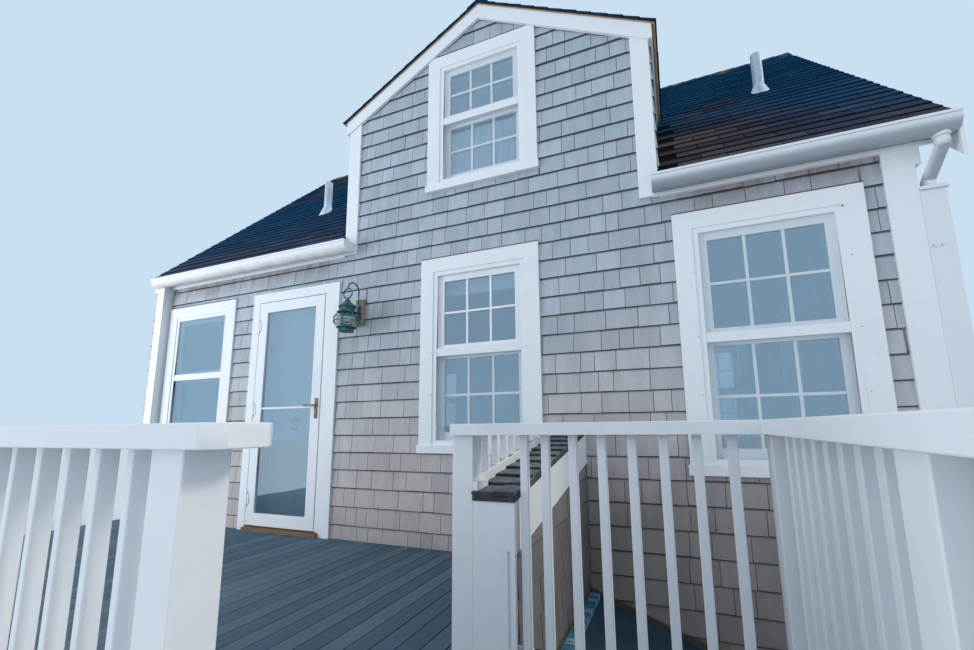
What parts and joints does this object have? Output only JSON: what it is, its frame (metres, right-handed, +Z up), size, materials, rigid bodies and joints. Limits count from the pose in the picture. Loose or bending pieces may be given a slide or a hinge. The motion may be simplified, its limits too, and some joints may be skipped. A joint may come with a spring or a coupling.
{
  "type": "shingled beach house",
  "caption": "Shingled timber beach house at the end of a row, with a gabled wall dormer, white trim, storm and entry doors, porch lantern, raised deck and railings.",
  "frame": {"origin": "on the ground under the middle of the front foundation wall", "axes": "+Z up, +X along the front towards the free gable, +Y from the front into the house"},
  "size_m": [6.84, 8.608, 6.1877],
  "materials": {
    "concrete": "rough cast concrete",
    "timber": "sawn softwood",
    "shingled_wall": "weathered silver-grey cedar shingles",
    "plain_wall": "plain rendered party wall",
    "roof": "dark mineral-faced asphalt shingles",
    "white_paint": "white painted boards, slightly chipped",
    "white_metal": "white coated aluminium",
    "vent": "white plastic pipe with a grey flashing collar",
    "glass": "clear window glass",
    "stained_wood": "brown stained hardwood",
    "bronze": "aged bronze",
    "brass": "polished brass",
    "block_wood": "bare weathered board",
    "verdigris": "dark green verdigris copper",
    "lantern_glass": "seeded clear glass",
    "deck": "weathered blue-grey deck boards",
    "hatch_paint": "dark blue-green painted boards"
  },
  "bodies": {
    "house": {"foundation": "concrete", "ground_floor": "timber", "upper_floor": "timber", "front_wall_base": "shingled_wall", "front_wall_left": "shingled_wall", "front_wall_over_door": "shingled_wall", "front_wall_right": "shingled_wall", "dormer_front_wall": "shingled_wall", "dormer_side_walls": "shingled_wall", "gable_wall": "shingled_wall", "party_wall": "plain_wall", "rear_wall": "shingled_wall", "front_roof": "roof", "rear_roof": "roof", "dormer_roof": "roof", "ridge_cap": "roof", "roof_boards": "white_paint", "corner_boards": "white_paint", "dormer_boards": "white_paint", "gutters": "white_metal", "downspouts": "white_metal", "vent_pipes": "vent", "front_windows": "white_paint", "side_and_rear_windows": "white_paint", "window_glass": "glass", "door_frame": "white_paint", "threshold": "stained_wood", "lantern_block": "block_wood", "lantern_metal": "verdigris", "lantern_globe": "lantern_glass", "deck_boards": "deck", "deck_frame": "timber", "deck_legs": "timber", "deck_skirts": "white_paint", "deck_railing": "white_paint", "well_railing": "white_paint", "side_railing": "white_paint", "short_railing": "white_paint", "knee_wall": "shingled_wall", "knee_wall_roof": "roof", "knee_wall_boards": "white_paint", "cellar_hatch": "hatch_paint"},
    "storm_door": {"storm_door": "white_metal", "storm_door_glass": "glass", "storm_door_handle": "bronze"},
    "entry_door": {"entry_door": "white_paint", "entry_door_hardware": "brass"}
  },
  "joints": [
    {"name": "storm_door_hinge", "type": "hinge", "parent": "house", "child": "storm_door", "pos_m": [-1.651, -0.1335, 2], "axis": [0, 0, -1], "range_deg": [0, 100]},
    {"name": "entry_door_hinge", "type": "hinge", "parent": "house", "child": "entry_door", "pos_m": [-1.651, 0.0395, 2], "axis": [0, 0, 1], "range_deg": [0, 90]}
  ]
}
